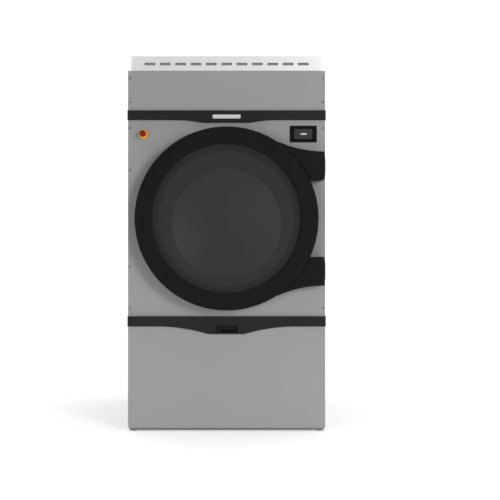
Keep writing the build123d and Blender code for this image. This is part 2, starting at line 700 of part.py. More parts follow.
def drum_spider():
    """Cast cross behind the drum, with its shaft."""
    y0, y1 = DRUM_REAR - 2.8, DRUM_REAR + 12
    hub_r, arm_half = 60.0, 22.0
    arm = block(-arm_half, arm_half, y0, y1, 0, DRUM_R - SHEET - 6)
    spider = rod_y(hub_r, y0, y1 + 8)
    for i in range(4):
        spider = spider + Pos(0, 0, DOOR_Z) * Rot(0, 90 * i, 0) * arm
    return spider + rod_y(SHAFT_R, y0, PULLEY_Y + 20)


def air_plenum():
    """Rear bulkhead with the hot-air inlet, and the shallow plenum welded behind it."""
    wall, inlet_r, half_width, low, high = 3.0, 330.0, 360.0, 690.0, CASING_BOTTOM - 2
    y0, y1 = BULKHEAD_Y, BULKHEAD_Y + wall
    bulkhead = block(-BULKHEAD_HALF, BULKHEAD_HALF, y0, y1, DECK_Z + SHEET, high - wall)
    bulkhead = bulkhead - rod_y(inlet_r, y0 - 1, y1 + 2)
    box = block(-half_width, half_width, y1, PLENUM_BACK, low, high)
    inside = block(wall - half_width, half_width - wall, y1 - 1, PLENUM_BACK - wall, low + wall, high + 1)
    return cut(bulkhead + (box - inside), rod_y(HOUSING_R + 0.5, PLENUM_BACK - 8, PLENUM_BACK + 7))


def bearing_housing():
    """Cast housing bolted through the plenum's back."""
    y0, end, flange_r, flange_thick = PLENUM_BACK, PLENUM_BACK + 82, 2 * HOUSING_R, 12.0
    body = rod_y(HOUSING_R, PLENUM_BACK - 41, end) + rod_y(flange_r, y0, y0 + flange_thick)
    rib_half, rib_end, rib_top = 5.0, y0 + 60, flange_r - 12
    for i in range(6):
        rib = block(-rib_half, rib_half, y0 + flange_thick - 2, rib_end, HOUSING_R - 6, rib_top)
        rib = rib - Pos(0, rib_end, rib_top + 4) * Rot(45, 0, 0) * Box(12, 70, 70)
        body = body + Pos(0, 0, DOOR_Z) * Rot(0, 60 * i, 0) * rib
    return body - rod_y(BEARING_R + RUNNING, PLENUM_BACK - 43, end + 5)


def bearings():
    """Two sealed ball bearings, each as one ring."""
    places = (PLENUM_BACK - 39, PLENUM_BACK + 57)
    return [ring_y(BEARING_R, SHAFT_R + RUNNING, y, y + BEARING_WIDTH) for y in places]


def drum_pulley():
    """Large belt pulley with six lightening holes."""
    y0, y1, flange = PULLEY_Y - PULLEY_HALF, PULLEY_Y + PULLEY_HALF, 2.5
    rim = ring_y(PULLEY_SEAT_R + 3, PULLEY_SEAT_R - 12, y0, y1)
    rim = rim - ring_y(PULLEY_SEAT_R + 5, PULLEY_SEAT_R, y0 + flange, y1 - flange)
    web = rod_y(PULLEY_SEAT_R - 11, PULLEY_Y - 4, PULLEY_Y + 4)
    hub_r, hole_r, circle_r = 52.0, 52.0, 160.0
    holes = []
    for i in range(6):
        turn = radians(60 * i)
        holes.append(rod_y(hole_r, y0 - 1, y1 + 1, circle_r * cos(turn), DOOR_Z + circle_r * sin(turn)))
    return cut(rim + web + rod_y(hub_r, y0, y1), rod_y(SHAFT_R, y0 - 1, y1 + 1), *holes)


def motor_pulley():
    """Small pulley on the end of the motor's shaft."""
    y0, y1, flange = PULLEY_Y - PULLEY_HALF, PULLEY_Y + PULLEY_HALF, 2.5
    pulley = rod_y(MOTOR_SEAT_R + 4, y0, y1, MOTOR_X, MOTOR_Z)
    pulley = pulley - ring_y(MOTOR_SEAT_R + 6, MOTOR_SEAT_R, y0 + flange, y1 - flange, MOTOR_X, MOTOR_Z)
    return pulley + rod_y(MOTOR_SHAFT_R, FRONT + 945, y1 + 4, MOTOR_X, MOTOR_Z)


def belt_outline(grow):
    """Both pulleys with their outer tangents, as one convex face."""
    big, small = PULLEY_SEAT_R + grow, MOTOR_SEAT_R + grow
    dx, dz = MOTOR_X, MOTOR_Z - DOOR_Z
    length = hypot(dx, dz)
    away = atan2(dz, dx)
    lean = asin((big - small) / length)
    points = []
    for side in (1, -1):
        a = away + side * (pi / 2 - lean)
        on_big = (big * cos(a), DOOR_Z + big * sin(a))
        on_small = (MOTOR_X + small * cos(a), MOTOR_Z + small * sin(a))
        points.append((on_big, on_small))
    (big_a, small_a), (big_b, small_b) = points
    far_big = (-big * cos(away), DOOR_Z - big * sin(away))
    far_small = (MOTOR_X + small * cos(away), MOTOR_Z + small * sin(away))
    edges = [
        ThreePointArc(big_a, far_big, big_b),
        Line(big_b, small_b),
        ThreePointArc(small_b, far_small, small_a),
        Line(small_a, big_a),
    ]
    return make_face(Curve() + edges)


def drive_belt():
    y0, y1 = PULLEY_Y - BELT_WIDTH / 2, PULLEY_Y + BELT_WIDTH / 2
    outer = plate(belt_outline(BELT_GAP + BELT_THICK), y1, y0)
    return outer - plate(belt_outline(BELT_GAP), y1 + 1, y0 - 1)


def drive_motor():
    """Foot-mounted motor with cooling ribs, standing on the two motor rails."""
    y0, y1, body_r, fins, fin_half, fin_height = FRONT + 760, FRONT + 985, 72.0, 16, 2.0, 10.0
    body = rod_y(body_r, y0, y1, MOTOR_X, MOTOR_Z)
    for i in range(fins):
        fin = block(-fin_half, fin_half, y0 + 35, y1 - 25, body_r - 12, body_r + fin_height)
        body = body + Pos(MOTOR_X, 0, MOTOR_Z) * Rot(0, 360 / fins * i, 0) * fin
    base_half, base_thick, leg_half, leg_top = 75.0, 8.0, 60.0, RAIL_HIGH + 45
    base_top = RAIL_HIGH + base_thick
    base = block(MOTOR_X - base_half, MOTOR_X + base_half, y0 + 10, y1 - 20, RAIL_HIGH, base_top)
    legs = block(MOTOR_X - leg_half, MOTOR_X + leg_half, y0 + 30, y1 - 40, base_top - 1, leg_top)
    return cut(body + base + legs, rod_y(MOTOR_SHAFT_R + RUNNING, FRONT + 940, y1 + 1, MOTOR_X, MOTOR_Z))


# ---- Exhaust fan -------------------------------------------------------------------------------------
def scroll(shrink, end):
    """Side view of the fan's scroll: a round body with its outlet along the bottom."""
    radius = SCROLL_R - shrink
    body = rod_x(radius, -FAN_HALF + shrink, FAN_HALF - shrink, FAN_Y, SCROLL_Z)
    low = SCROLL_Z - radius
    outlet = block(-FAN_HALF + shrink, FAN_HALF - shrink, FAN_Y, end, low, SCROLL_Z - shrink)
    return body + outlet


def fan_housing():
    """Scroll of the fan, with its inlet, the motor's hole and the outlet."""
    inlet_r, motor_hole_r = 95.0, 30.0
    shell = scroll(0, OUTLET_END) - scroll(SHEET, OUTLET_END - SHEET)
    inlet = rod_x(inlet_r, -FAN_HALF - 1, -FAN_HALF + 5, FAN_Y, FAN_Z)
    motor_side = rod_x(motor_hole_r, FAN_HALF - 5, FAN_HALF + 1, FAN_Y, FAN_Z)
    return cut(shell, inlet, motor_side, rod_y(DUCT_R - 5, OUTLET_END - 5, OUTLET_END + 1, 0, OUTLET_Z))


def fan_impeller():
    """Centrifugal wheel on its shaft: back plate, front ring and blades."""
    hub_r, eye_r, half, wall = 26.0, 98.0, IMPELLER_HALF, 3.0
    blades, blade_root, blade_lean = 14, 100.0, 24.0
    wheel = rod_x(IMPELLER_R, half - wall, half, FAN_Y, FAN_Z) + rod_x(hub_r, 0, half, FAN_Y, FAN_Z)
    eye = rod_x(eye_r, -half - 1, wall + 1 - half, FAN_Y, FAN_Z)
    wheel = wheel + (rod_x(IMPELLER_R, -half, wall - half, FAN_Y, FAN_Z) - eye)
    blade = block(2 - half, half - 2, -wall / 2, wall / 2, blade_root, IMPELLER_R - 2)
    blade = Pos(0, 0, blade_root) * Rot(blade_lean, 0, 0) * Pos(0, 0, -blade_root) * blade
    for i in range(blades):
        wheel = wheel + Pos(0, FAN_Y, FAN_Z) * Rot(360 / blades * i, 0, 0) * blade
    return wheel + rod_x(FAN_SHAFT_R, 0, 150, FAN_Y, FAN_Z)


def fan_motor():
    """Flanged motor on the scroll's side, with its terminal box on top."""
    flange_r, flange, body_r, length, box_half = 84.0, 5.0, 68.0, 200.0, 35.0
    start = FAN_HALF + flange
    body = rod_x(flange_r, FAN_HALF, start, FAN_Y, FAN_Z) + rod_x(body_r, start, start + length, FAN_Y, FAN_Z)
    low, high = FAN_Z + body_r - 8, FAN_Z + body_r + 20
    terminal = block(start + 55, start + 135, FAN_Y - box_half, FAN_Y + box_half, low, high)
    return cut(body + terminal, rod_x(FAN_SHAFT_R + RUNNING, FAN_HALF - 1, start + 50, FAN_Y, FAN_Z))


def exhaust_collar():
    """Duct from the fan to the spigot behind the machine."""
    inner_duct = rod_y(DUCT_R - 3, OUTLET_END, REAR + 1, 0, OUTLET_Z)
    flange_r = DUCT_R + 24
    flange = rod_y(flange_r, REAR, REAR + 2, 0, OUTLET_Z)
    spigot = rod_y(DUCT_R, REAR + 1, REAR + SPIGOT, 0, OUTLET_Z)
    return cut(inner_duct + flange + spigot, rod_y(DUCT_R - 5, OUTLET_END - 1, REAR + SPIGOT + 1, 0, OUTLET_Z))


def air_deck():
    """Floor of the drum space, with the skirt that leads the air down into the lint drawer."""
    half, y0, y1 = 400.0, FRONT + 60, FRONT + 520
    deck = block(-BULKHEAD_HALF, BULKHEAD_HALF, FRONT + 8, BULKHEAD_Y + 5, DECK_Z, DECK_Z + SHEET)
    deck = deck - block(-half, half, y0, y1, DECK_Z - 1, DECK_Z + 5)
    skirt = block(-half - SHEET, half + SHEET, y0 - SHEET, y1 + SHEET, BOX_TOP + 6, DECK_Z)
    skirt = skirt - block(-half, half, y0, y1, BOX_TOP, DECK_Z + 5)
    post_room = block(BULKHEAD_HALF - 25, BULKHEAD_HALF + 1, FRONT, FRONT + 34, DECK_Z - 5, DECK_Z + 5)
    return cut(deck + skirt, *left_and_right(post_room))


def heater_casing():
    """Duct from under the intake, past the heating elements and back to the plenum."""
    y0, y1, z0, z1 = FRONT + 230, PLENUM_BACK, CASING_BOTTOM, ROOF - 2 * SHEET
    half = CASING_HALF
    inner = half - SHEET
    mouth = half - 10
    casing = block(-half, half, y0, y1, z0, z1)
    inside = block(-inner, inner, y0 + SHEET, y1 - SHEET, z0 + SHEET, z1 - SHEET)
    top = block(-mouth, mouth, y0 + 10, FRONT + 620, z1 - 5, z1 + 1)
    bottom = block(-mouth, mouth, BULKHEAD_Y + 7, y1 - 5, z0 - 1, z0 + 5)
    return cut(casing, inside, top, bottom)


def heater_elements():
    """Six straight sheathed heating rods, each with two collars."""
    radius, half, collar_r, collar_x, collar_half, pitch = 6.0, CASING_HALF - 4, 11.0, 240.0, 5.0, 55.0
    rods = []
    for i in range(6):
        y = FRONT + 290 + pitch * i
        rod = rod_x(radius, -half, half, y, ELEMENT_Z)
        for x in (-collar_x, collar_x):
            rod = rod + rod_x(collar_r, x - collar_half, x + collar_half, y, ELEMENT_Z)
        rods.append(rod)
    return rods


def control_tray():
    """Electrical tray behind the upper front panel."""
    half, y0, y1, low, high, wall = 430.0, FRONT + 32, FRONT + 100, 1600.0, 1768.0, 3.0
    tray = block(-half, half, y0, y1, low, high)
    tray = tray - block(wall - half, half - wall, y0 - 1, y1 - wall, low + wall, high - wall)
    bar_half = SIDE_IN - POST_WALL
    return tray + block(-bar_half, bar_half, FRONT + 20, y0 + 2, low, low + wall)


def cable_gland():
    """Gland for the supply cable in the rear panel."""
    x, z = GLAND_X, GLAND_Z
    hexagon = Pos(x, z) * RegularPolygon(22, 6)
    body_end, dome_end, bore_r = REAR + 12, REAR + 28, 10.0
    thread = rod_y(GLAND_R, REAR - 12, REAR, x, z)
    lock_nut = plate(hexagon, REAR - SHEET, REAR - SHEET - 6)
    dome = rod_y(GLAND_R + 1, body_end, dome_end, x, z)
    dome = fillet(dome.edges().filter_by(GeomType.CIRCLE).sort_by(Axis.Y)[-1], 4)
    gland = thread + lock_nut + plate(hexagon, body_end, REAR) + dome
    return cut(gland, rod_y(bore_r, REAR - 13, dome_end + 1, x, z))


# ---- Lint drawer -------------------------------------------------------------------------------------
def drawer_front():
    """Folded front sheet of the drawer, with the latch's opening."""
    panel = block(-HALF, HALF, FRONT, FRONT + SHEET, PANEL_BOTTOM, DRAWER_TOP)
    for x in (-HALF, HALF - SHEET):
        panel = panel + block(x, x + SHEET, FRONT, FRONT + FLANGE, PANEL_BOTTOM, DRAWER_TOP)
    lip = SIDE_IN - 5
    panel = panel + block(-lip, lip, FRONT, FRONT + 5, PANEL_BOTTOM, PANEL_BOTTOM + SHEET)
    return cut(panel, latch_cutout(0.2))


def drawer_box():
    """Open tray with a ledge for the lint screen, and cheeks that carry the front."""
    y0 = FRONT + 20
    walls = block(-BOX_HALF, BOX_HALF, y0, BOX_BACK, BOX_BOTTOM, BOX_TOP)
    inner = BOX_HALF - SHEET
    walls = walls - block(-inner, inner, y0 + SHEET, BOX_BACK - SHEET, BOX_BOTTOM - 1, BOX_TOP + 1)
    wide = 20.0
    ledge = block(-BOX_HALF, BOX_HALF, y0, BOX_BACK, LEDGE_Z - SHEET, LEDGE_Z)
    open_half = BOX_HALF - wide
    ledge = ledge - block(-open_half, open_half, y0 + wide, BOX_BACK - wide, LEDGE_Z - 10, LEDGE_Z + 10)
    cheeks = []
    for x in (-BOX_HALF, BOX_HALF - SHEET):
        cheeks.append(block(x, x + SHEET, FRONT + SHEET, y0 + 2, BOX_BOTTOM, BOX_TOP - 20))
    return join([walls, ledge, *cheeks])


def lint_screen():
    """Framed lint screen; the mesh is drawn as a thin sheet."""
    x, y0, y1 = BOX_HALF - 4, FRONT + 24, BOX_BACK - 4
    wide, low, high, mesh_z, bar_x, bar_half = 24.0, LEDGE_Z, LEDGE_Z + 12, LEDGE_Z + 5, 140.0, 5.0
    lap = wide - 4
    frame = block(-x, x, y0, y1, low, high)
    middle = block(-x + wide, x - wide, y0 + wide, y1 - wide, low - 1, high + 1)
    mesh = block(-x + lap, x - lap, y0 + lap, y1 - lap, mesh_z, mesh_z + 1.2)
    bars = [block(b - bar_half, b + bar_half, y0 + 5, y1 - 5, low + 1, mesh_z + 0.5) for b in (-bar_x, bar_x)]
    return join([frame - middle, mesh, *bars])


def drawer_slides():
    """Slide on each side of the tray, with the tongue that runs in the cabinet's runner."""
    y0, y1, face = FRONT + 34, FRONT + 536, BOX_HALF + 7.5
    slide = block(BOX_HALF, face, y0, y1, SLIDE_Z - 17, SLIDE_Z + 17)
    tongue = block(face - 0.5, face + 9.5, y0, y1, SLIDE_Z - 7, SLIDE_Z + 7)
    return left_and_right(slide + tongue)


def latch_bezel():
    """Recessed latch housing: finger pocket on the right and lock on the left."""
    x, z = LATCH_HALF_X, LATCH_HALF_Z
    body = block(-x, x, FRONT - BAND_PROUD - 1, FRONT + 12, LATCH_Z - z, LATCH_Z + z)
    body = fillet(body.edges().filter_by(Axis.Y), 3)
    body = chamfer(body.faces().sort_by(Axis.Y)[0].edges(), 0.6)
    pocket = block(PADDLE_LEFT - 2, PADDLE_RIGHT + 2, FRONT - 20, FRONT + 10, LATCH_Z - z + 2, LATCH_Z + z - 2)
    pocket = fillet(pocket.edges().filter_by(Axis.Y), 2)
    pin = rod_x(LATCH_PIN_R + RUNNING, PADDLE_LEFT - 5, PADDLE_RIGHT + 3.5, LATCH_PIN_Y, LATCH_PIN_Z)
    lock = rod_y(LOCK_R + RUNNING, FRONT - 20, FRONT + 13, LOCK_X, LATCH_Z)
    return cut(body, pocket, pin, lock)


def latch_paddle():
    """Pull flap that hangs on its own pin; fingers reach under its lower edge."""
    bottom, half = LATCH_PIN_Z - 14.3, 2.0
    face, back = LATCH_PIN_Y - half, LATCH_PIN_Y + half
    flap = block(PADDLE_LEFT, PADDLE_RIGHT, face, back, bottom, LATCH_PIN_Z + half)
    lip = block(PADDLE_LEFT, PADDLE_RIGHT, face, back + 4, bottom, bottom + 2.5)
    return flap + lip + rod_x(LATCH_PIN_R, PADDLE_LEFT - 4, PADDLE_RIGHT + 3, LATCH_PIN_Y, LATCH_PIN_Z)


def lock_plug():
    """Key plug with the cam that swings up behind the front rail."""
    slot_half, slot_length, cam_face, cam_reach, cam_half = 1.0, 9.0, FRONT + 13, 30.0, 7.0
    low, high = LATCH_Z - slot_length / 2, LATCH_Z + slot_length / 2
    plug = rod_y(LOCK_R, FRONT - BAND_PROUD - 2, cam_face + 1, LOCK_X, LATCH_Z)
    slot = block(LOCK_X - slot_half, LOCK_X + slot_half, FRONT - 30, FRONT - BAND_PROUD + 4, low, high)
    cam_left, cam_right = LOCK_X - cam_reach, LOCK_X + LOCK_R
    cam = block(cam_left, cam_right, cam_face, cam_face + 3, LATCH_Z - cam_half, LATCH_Z + cam_half)
    return cut(plug + cam, slot)


# ---- Output ------------------------------------------------------------------------------------------
PIECES = {
    "base_frame": base_frame,
    "frame_posts": frame_posts,
    "frame_rails": frame_rails,
    "side_panels": side_panels,
    "top_panel": top_panel,
    "rear_panel_upper": rear_panel_upper,
    "rear_panel_lower": rear_panel_lower,
    "front_panel_main": front_panel_main,
    "front_panel_upper": front_panel_upper,
    "panel_screws": panel_screws,
    "upper_trim_band": lambda: trim_band(UPPER_BAND),
    "badge_plate": badge_plate,
    "display_bezel": display_bezel,
    "display_screen": display_screen,
    "estop_collar": estop_collar,
    "estop_contact_block": estop_contact_block,
    "estop_stem": estop_stem,
    "estop_head": estop_head,
    "intake_box": intake_box,
    "heater_casing": heater_casing,
    "heater_elements": heater_elements,
    "air_plenum": air_plenum,
    "bearing_housing": bearing_housing,
    "bearings": bearings,
    "drive_motor": drive_motor,
    "drive_belt": drive_belt,
    "motor_pulley": motor_pulley,
    "fan_housing": fan_housing,
    "fan_motor": fan_motor,
    "fan_impeller": fan_impeller,
    "exhaust_collar": exhaust_collar,
    "air_deck": air_deck,
    "loading_ring": loading_ring,
    "control_tray": control_tray,
    "cable_gland": cable_gland,
    "hinge_brackets": hinge_brackets,
    "door_ring": door_ring,
    "door_frame": door_frame,
    "door_glass": door_glass,
    "glass_gasket": glass_gasket,
    "door_seal": door_seal,
    "hinge_covers": hinge_covers,
    "hinge_arms": hinge_arms,
    "drum_shell": drum_shell,
    "drum_back": drum_back,
    "drum_lifters": drum_lifters,
    "drum_spider": drum_spider,
    "drum_pulley": drum_pulley,
    "drawer_front": drawer_front,
    "lower_trim_band": lower_trim_band,
    "drawer_box": drawer_box,
    "lint_screen": lint_screen,
    "drawer_slides": drawer_slides,
    "latch_bezel": latch_bezel,
    "latch_paddle": latch_paddle,
    "lock_plug": lock_plug,
}


def write_parts():
    os.makedirs("parts", exist_ok=True)
    made = {name: make() for name, make in PIECES.items()}
    for name, (x, y) in foot_places().items():
        made[name] = foot(x, y)
    for name, shape in made.items():
        solids = shape if isinstance(shape, list) else [shape]
        whole = Compound([solid for piece in solids for solid in piece.solids()])
        export_step(whole, f"parts/{name}.step")
    print(len(made), "pieces written")


write_parts()
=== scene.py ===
"""Looks of an industrial tumble dryer: materials, detail pieces, floor, lights and camera."""

import json
import math

import bmesh
import bpy
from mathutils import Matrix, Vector


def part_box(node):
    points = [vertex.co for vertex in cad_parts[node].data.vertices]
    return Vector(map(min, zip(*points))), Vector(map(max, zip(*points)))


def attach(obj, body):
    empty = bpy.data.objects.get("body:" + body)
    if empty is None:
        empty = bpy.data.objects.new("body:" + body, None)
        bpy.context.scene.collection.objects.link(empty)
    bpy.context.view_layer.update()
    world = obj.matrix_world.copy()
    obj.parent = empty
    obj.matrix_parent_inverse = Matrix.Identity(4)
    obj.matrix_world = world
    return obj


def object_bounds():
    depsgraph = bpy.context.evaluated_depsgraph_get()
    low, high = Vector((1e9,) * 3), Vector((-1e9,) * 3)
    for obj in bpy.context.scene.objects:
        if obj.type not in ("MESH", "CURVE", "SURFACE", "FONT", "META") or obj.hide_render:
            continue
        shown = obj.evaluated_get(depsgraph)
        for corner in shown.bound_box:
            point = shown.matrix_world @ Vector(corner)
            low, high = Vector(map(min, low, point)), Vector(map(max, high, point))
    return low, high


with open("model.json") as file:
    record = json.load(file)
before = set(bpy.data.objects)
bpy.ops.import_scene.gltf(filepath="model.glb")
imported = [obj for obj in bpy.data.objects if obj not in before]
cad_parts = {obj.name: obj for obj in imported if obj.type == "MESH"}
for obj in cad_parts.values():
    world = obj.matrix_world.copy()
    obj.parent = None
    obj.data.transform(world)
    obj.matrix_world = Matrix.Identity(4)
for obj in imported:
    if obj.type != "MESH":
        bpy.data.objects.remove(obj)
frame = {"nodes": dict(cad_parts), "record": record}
CAD_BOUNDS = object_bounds()

NODES = frame["nodes"]
MM = 0.001

DOOR_Z = sum(v.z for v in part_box("door_glass")) / 2
PANEL_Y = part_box("front_panel_main")[0].y  # front face of the grey panels
TOP_Z = CAD_BOUNDS[1][2]

# Door glass: a tinted pane inside a denser printed border
PRINT_R = 0.331
PRINT_EDGE = 0.8 * MM  # half the width of the border's soft edge
PANE_ALPHA, PRINT_ALPHA = 0.48, 0.94

# Drum: perforated sheet; on its back, a bright middle disc and a darker plain ring round it are painted
# light and shade
DRUM_LIT_DISC_R = 0.319
DRUM_LIT_DISC_EDGE = 7 * MM  # half the width of the painted light disc's soft edge
DRUM_PITCH = 10 * MM
DRUM_HOLE = 0.26  # a hole's radius in pitches
HOLE_EDGE = 0.06  # a hole's soft edge in pitches

# Lint screen: woven mesh below, and its plain frame above
MESH_PITCH = 6 * MM
MESH_HOLE = 0.3  # in pitches, as for the drum
MESH_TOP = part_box("lint_screen")[0].z + 7 * MM
MESH_EDGE = 0.5 * MM

# Dust on the intake's lid: it starts and is full this far below the top
DUST_START, DUST_FULL = 1.5 * MM, 0.5 * MM


# ---- Node tree helpers -------------------------------------------------------------------------------
class Look:
    """A new material, with short calls for the nodes that its surface is made of.

    Texture scales are per metre, and bump distances are in metres.
    """

    def __init__(self, name):
        self.material = bpy.data.materials.new(name)
        self.material.use_nodes = True
        self.tree = self.material.node_tree
        self.nodes = self.tree.nodes
        self.shader = self.nodes["Principled BSDF"]
        self.coords = self.nodes.new("ShaderNodeTexCoord").outputs["Object"]

    def link(self, source, target):
        self.tree.links.new(source, target)

    def feed(self, source, target):
        """Links a socket to its source, or sets it to a number or a colour."""
        if isinstance(source, bpy.types.NodeSocket):
            self.link(source, target)
        elif isinstance(source, tuple):
            target.default_value = (*source, 1.0)
        else:
            target.default_value = source

    def set(self, **values):
        """Sets sockets of the shader itself, with underscores for spaces."""
        for name, value in values.items():
            self.shader.inputs[name.replace("_", " ")].default_value = value
        return self

    def stretched(self, scale):
        """Object coordinates multiplied by a different number on each axis."""
        mapping = self.nodes.new("ShaderNodeMapping")
        mapping.inputs["Scale"].default_value = scale
        self.link(self.coords, mapping.inputs["Vector"])
        return mapping.outputs["Vector"]

    def noise(self, scale, detail=4.0, roughness=0.55, vector=None):
        node = self.nodes.new("ShaderNodeTexNoise")
        node.inputs["Scale"].default_value = scale
        node.inputs["Detail"].default_value = detail
        node.inputs["Roughness"].default_value = roughness
        self.link(vector or self.coords, node.inputs["Vector"])
        return node.outputs["Fac"]

    def cells(self, scale):
        node = self.nodes.new("ShaderNodeTexVoronoi")
        node.inputs["Scale"].default_value = scale
        self.link(self.coords, node.inputs["Vector"])
        return node.outputs

    def spread(self, value, low=0.0, high=1.0, start=0.3, end=0.7):
        """Maps a texture value from start..end to low..high."""
        node = self.nodes.new("ShaderNodeMapRange")
        for socket, number in (("From Min", start), ("From Max", end), ("To Min", low), ("To Max", high)):
            node.inputs[socket].default_value = number
        self.link(value, node.inputs["Value"])
        return node.outputs["Result"]

    def ramp(self, value, *stops):
        """Colour ramp from (position, colour) stops."""
        node = self.nodes.new("ShaderNodeValToRGB")
        elements = node.color_ramp.elements
        while len(elements) < len(stops):
            elements.new(0.5)
        for element, (position, colour) in zip(elements, stops):
            element.position = position
            element.color = (*colour, 1.0)
        self.link(value, node.inputs["Fac"])
        return node.outputs["Color"]

    def mixed(self, factor, first, second):
        """Colour that goes from first to second as factor goes from 0 to 1."""
        node = self.nodes.new("ShaderNodeMix")
        node.data_type = "RGBA"
        factor_in, first_in, second_in = (node.inputs[i] for i in (0, 6, 7))  # its sockets for colours
        self.feed(factor, factor_in)
        self.feed(first, first_in)
        self.feed(second, second_in)
        return node.outputs[2]

    def patches(self, texture, first, second):
        """Colour that follows a texture from first to second."""
        return self.mixed(self.spread(texture), first, second)

    def maths(self, operation, first, second=0.0):
        node = self.nodes.new("ShaderNodeMath")
        node.operation = operation
        for socket, source in zip(node.inputs, (first, second)):
            self.feed(source, socket)
        return node.outputs["Value"]

    def length(self, first, second):
        """Length of the vector with these two components."""
        squares = (self.maths("MULTIPLY", value, value) for value in (first, second))
        return self.maths("SQRT", self.maths("ADD", *squares))

    def separate(self):
        """The three object coordinates as values."""
        node = self.nodes.new("ShaderNodeSeparateXYZ")
        self.link(self.coords, node.inputs["Vector"])
        return node.outputs["X"], node.outputs["Y"], node.outputs["Z"]

    def from_door_axis(self):
        """Distance from the door's axis, and the turn about it from -1 to 1."""
        x, _, z = self.separate()
        z = self.maths("SUBTRACT", z, DOOR_Z)
        turn = self.maths("DIVIDE", self.maths("ARCTAN2", z, x), math.pi)
        return self.length(x, z), turn

    def holes(self, across, along, pitch, size):
        """1 in the holes of a staggered perforation; size is a hole's radius in pitches."""
        nearest = None
        for shift in (0.0, 0.5):
            place = self.nodes.new("ShaderNodeCombineXYZ")
            for value, axis in ((across, "X"), (along, "Y")):
                steps = self.maths("DIVIDE", value, pitch)
                self.link(self.maths("ADD", steps, shift), place.inputs[axis])
            lattice = self.nodes.new("ShaderNodeTexVoronoi")
            lattice.voronoi_dimensions = "2D"
            lattice.inputs["Scale"].default_value = 1.0
            lattice.inputs["Randomness"].default_value = 0.0
            self.link(place.outputs["Vector"], lattice.inputs["Vector"])
            distance = lattice.outputs["Distance"]
            nearest = distance if nearest is None else self.maths("MINIMUM", nearest, distance)
        return self.spread(nearest, 1.0, 0.0, size, size + HOLE_EDGE)

    def alpha(self, source):
        self.link(source, self.shader.inputs["Alpha"])

    def bump(self, height, strength, distance):
        node = self.nodes.new("ShaderNodeBump")
        node.inputs["Strength"].default_value = strength
        node.inputs["Distance"].default_value = distance
        self.link(height, node.inputs["Height"])
        self.link(node.outputs["Normal"], self.shader.inputs["Normal"])

    def base(self, source):
        self.link(source, self.shader.inputs["Base Color"])

    def roughness(self, source):
        self.link(source, self.shader.inputs["Roughness"])


def srgb(*channels):
    """Linear colour from 0..255 display values."""
    values = [c / 255 for c in channels]
    return tuple(v / 12.92 if v <= 0.04045 else ((v + 0.055) / 1.055) ** 2.4 for v in values)


def grey(level):
    return srgb(level, level, level)


# ---- Materials ---------------------------------------------------------------------------------------
def powder_coat():
    """Grey powder coat with its fine orange peel and faint cloudiness."""
    look = Look("grey_powder_coat").set(Metallic=0.0, Specular_IOR_Level=0.35)
    cloud = look.spread(look.noise(2.2, 3), 0.0, 1.0, 0.25, 0.75)
    speck = look.spread(look.noise(1400, 2), 0.0, 1.0, 0.35, 0.65)
    body = look.mixed(cloud, grey(136), grey(139))
    body = look.mixed(look.maths("MULTIPLY", speck, 0.35), body, grey(146))
    look.base(body)
    look.roughness(look.spread(look.noise(380, 2), 0.56, 0.66))
    look.bump(look.noise(620, 3, 0.5), 0.25, 0.00012)
    return look.material


def black_plastic():
    """Satin black moulding with a fine spark-eroded grain."""
    look = Look("black_satin_moulding").set(Metallic=0.0, Specular_IOR_Level=0.15)
    look.base(look.patches(look.noise(6, 3), grey(26), grey(30)))
    look.roughness(look.spread(look.noise(60, 4), 0.46, 0.56))
    look.bump(look.cells(2600)["Distance"], 0.2, 0.00006)
    return look.material


def ring_plastic():
    """Deeper black of the door ring and hinge covers."""
    look = Look("black_door_moulding").set(Metallic=0.0, Specular_IOR_Level=0.1)
    look.base(look.patches(look.noise(5, 3), grey(13), grey(17)))
    look.roughness(look.spread(look.noise(45, 4), 0.44, 0.54))
    look.bump(look.cells(2400)["Distance"], 0.2, 0.00006)
    return look.material


def gloss_black():
    look = Look("gloss_black_frame").set(Metallic=0.0, Specular_IOR_Level=0.25)
    look.base(look.patches(look.noise(30), grey(14), grey(19)))
    look.roughness(look.spread(look.noise(120, 5), 0.16, 0.26))
    look.bump(look.noise(900, 2), 0.08, 0.00004)
    return look.material


def display_glass():
    """Grey touch screen with the faint grid of its pixels."""
    look = Look("display_screen").set(Metallic=0.0, Specular_IOR_Level=0.3)
    look.set(Coat_Weight=0.3, Coat_Roughness=0.06)
    grid = look.cells(900)["Distance"]
    look.base(look.mixed(look.spread(grid, 0.0, 1.0, 0.0, 0.8), grey(52), grey(60)))
    look.roughness(look.spread(look.noise(70, 4), 0.14, 0.24))
    return look.material


def stop_button_red():
    look = Look("stop_button_red").set(Metallic=0.0, Specular_IOR_Level=0.3, Subsurface_Weight=0.02)
    look.base(look.patches(look.noise(90, 3), srgb(112, 9, 5), srgb(124, 14, 8)))
    look.roughness(look.spread(look.noise(240, 4), 0.30, 0.42))
    look.bump(look.noise(1500, 2), 0.15, 0.00005)
    return look.material


def stop_button_yellow():
    look = Look("stop_button_yellow").set(Metallic=0.0, Specular_IOR_Level=0.45)
    look.base(look.patches(look.noise(90, 3), srgb(226, 158, 32), srgb(236, 174, 48)))
    look.roughness(look.spread(look.noise(240, 4), 0.36, 0.48))
    look.bump(look.noise(1500, 2), 0.15, 0.00005)
    return look.material


def black_nylon():
    look = Look("black_glass_filled_nylon").set(Metallic=0.0, Specular_IOR_Level=0.35)
    look.base(look.patches(look.noise(160, 4), grey(30), grey(44)))
    look.roughness(look.spread(look.noise(200, 4), 0.48, 0.62))
    look.bump(look.noise(1100, 3), 0.3, 0.00008)
    return look.material


def badge_white():
    look = Look("badge_satin_white").set(Metallic=0.0, Specular_IOR_Level=0.4)
    look.base(look.patches(look.noise(140, 3), grey(192), grey(204)))
    look.roughness(look.spread(look.noise(300, 3), 0.35, 0.45))
    look.bump(look.noise(1600, 2), 0.1, 0.00004)
    return look.material


